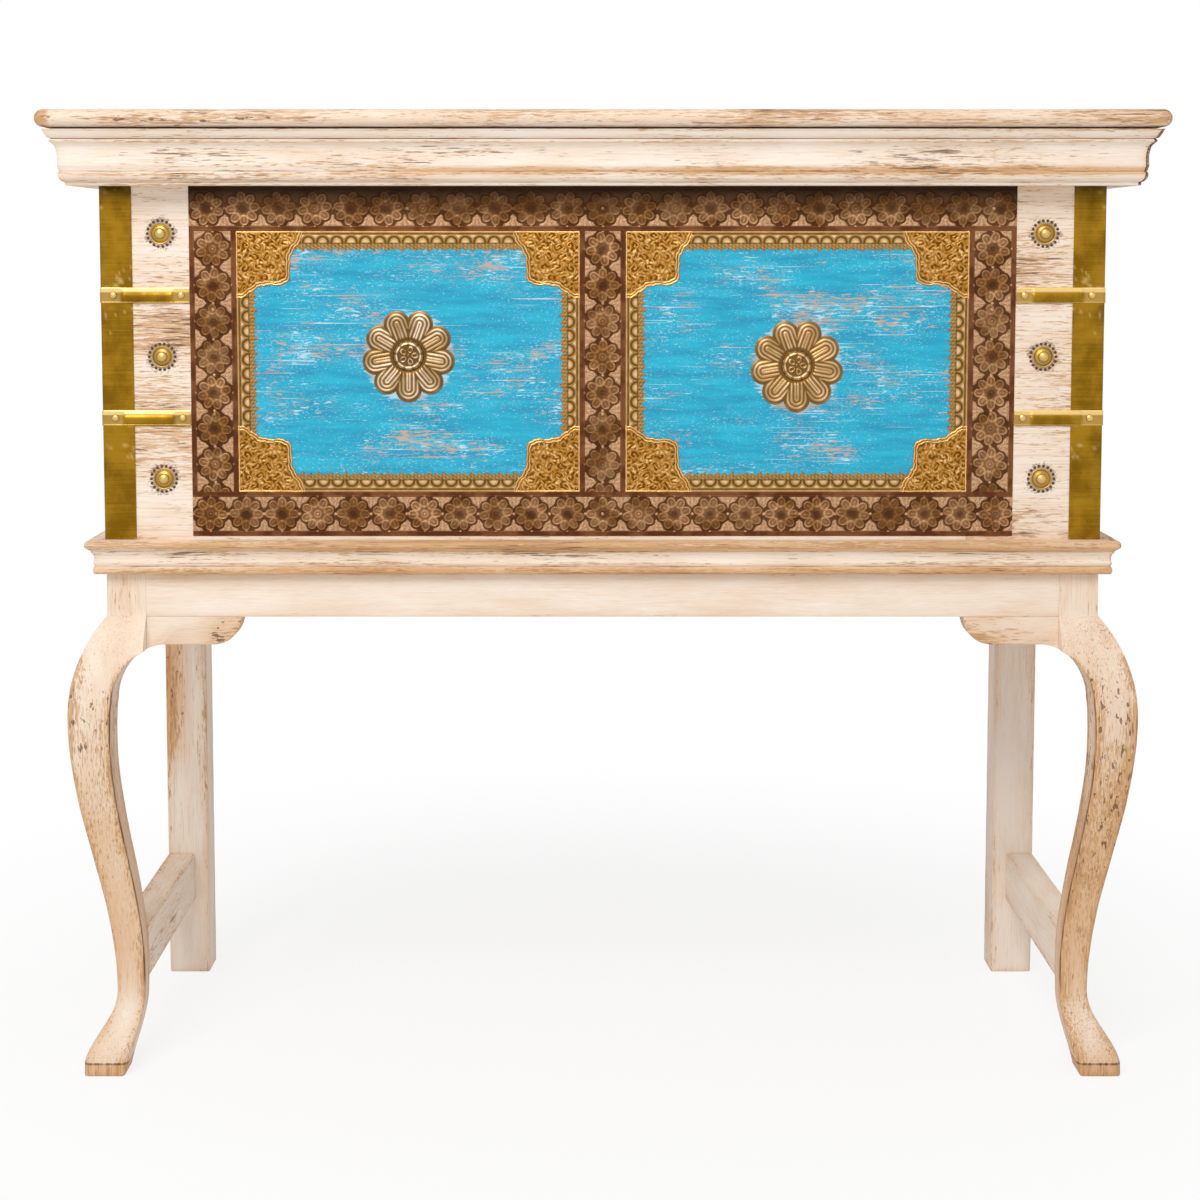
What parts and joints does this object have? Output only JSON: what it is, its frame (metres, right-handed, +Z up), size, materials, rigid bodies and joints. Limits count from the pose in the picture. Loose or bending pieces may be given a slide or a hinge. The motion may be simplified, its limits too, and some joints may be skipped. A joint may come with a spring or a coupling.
{
  "type": "storage chest",
  "caption": "Wide shallow wooden storage chest with a lifting lid, fixed on a stand with curved front legs, straight rear legs and side stretchers.",
  "frame": {"origin": "on the floor, under the centre of the whole object's bounding box", "axes": "+X along the length towards the right end seen from the front, +Y from the front to the back, +Z up"},
  "size_m": [1.104, 0.435, 0.9715],
  "materials": {
    "white_painted_wood": "distressed cream-white paint over mango wood, rubbed through on the edges",
    "turquoise_painted_wood": "turquoise paint, scratched to a pale undercoat",
    "bare_wood": "bare mango wood",
    "old_brass": "old satin brass, smudged",
    "dark_copper": "embossed copper sheet, oxidised dark brown, worn bright on the raised parts",
    "gilt_foil": "stamped gilt sheet with dark patina in the grooves"
  },
  "bodies": {
    "chest": {"front_leg_left": "white_painted_wood", "front_leg_right": "white_painted_wood", "rear_leg_left": "white_painted_wood", "rear_leg_right": "white_painted_wood", "apron_front": "white_painted_wood", "apron_rear": "white_painted_wood", "apron_left": "white_painted_wood", "apron_right": "white_painted_wood", "knee_bracket_left": "white_painted_wood", "knee_bracket_right": "white_painted_wood", "stretcher_left": "white_painted_wood", "stretcher_right": "white_painted_wood", "base_moulding_front": "white_painted_wood", "base_moulding_left": "white_painted_wood", "base_moulding_right": "white_painted_wood", "base_rail_rear": "white_painted_wood", "stand_dowels": "bare_wood", "bottom_board": "bare_wood", "side_board_left": "white_painted_wood", "side_board_right": "white_painted_wood", "back_board": "white_painted_wood", "stile_left": "white_painted_wood", "stile_right": "white_painted_wood", "rail_top": "white_painted_wood", "rail_bottom": "white_painted_wood", "muntin": "white_painted_wood", "panel_left": "turquoise_painted_wood", "panel_right": "turquoise_painted_wood", "cornice_front": "white_painted_wood", "cornice_left": "white_painted_wood", "cornice_right": "white_painted_wood", "corner_plate_left": "old_brass", "corner_plate_right": "old_brass", "straps_left": "old_brass", "straps_right": "old_brass", "strap_nails": "old_brass", "studs": "old_brass", "strip_top": "dark_copper", "strip_bottom": "dark_copper", "strip_left": "dark_copper", "strip_middle": "dark_copper", "strip_right": "dark_copper", "strip_nails": "dark_copper", "edging_left": "gilt_foil", "edging_right": "gilt_foil", "spandrels_left": "gilt_foil", "spandrels_right": "gilt_foil", "rosette_left": "gilt_foil", "rosette_right": "gilt_foil", "hinge_leaves_box": "old_brass", "hinge_pins": "old_brass", "hinge_screws_box": "old_brass"},
    "lid": {"lid_board": "white_painted_wood", "lid_battens": "bare_wood", "hinge_leaves_lid": "old_brass", "hinge_screws_lid": "old_brass"}
  },
  "joints": [
    {"name": "lid_hinge", "type": "hinge", "parent": "chest", "child": "lid", "pos_m": [0, 0.1938, 0.95], "axis": [-1, 0, 0], "range_deg": [0, 105]}
  ]
}
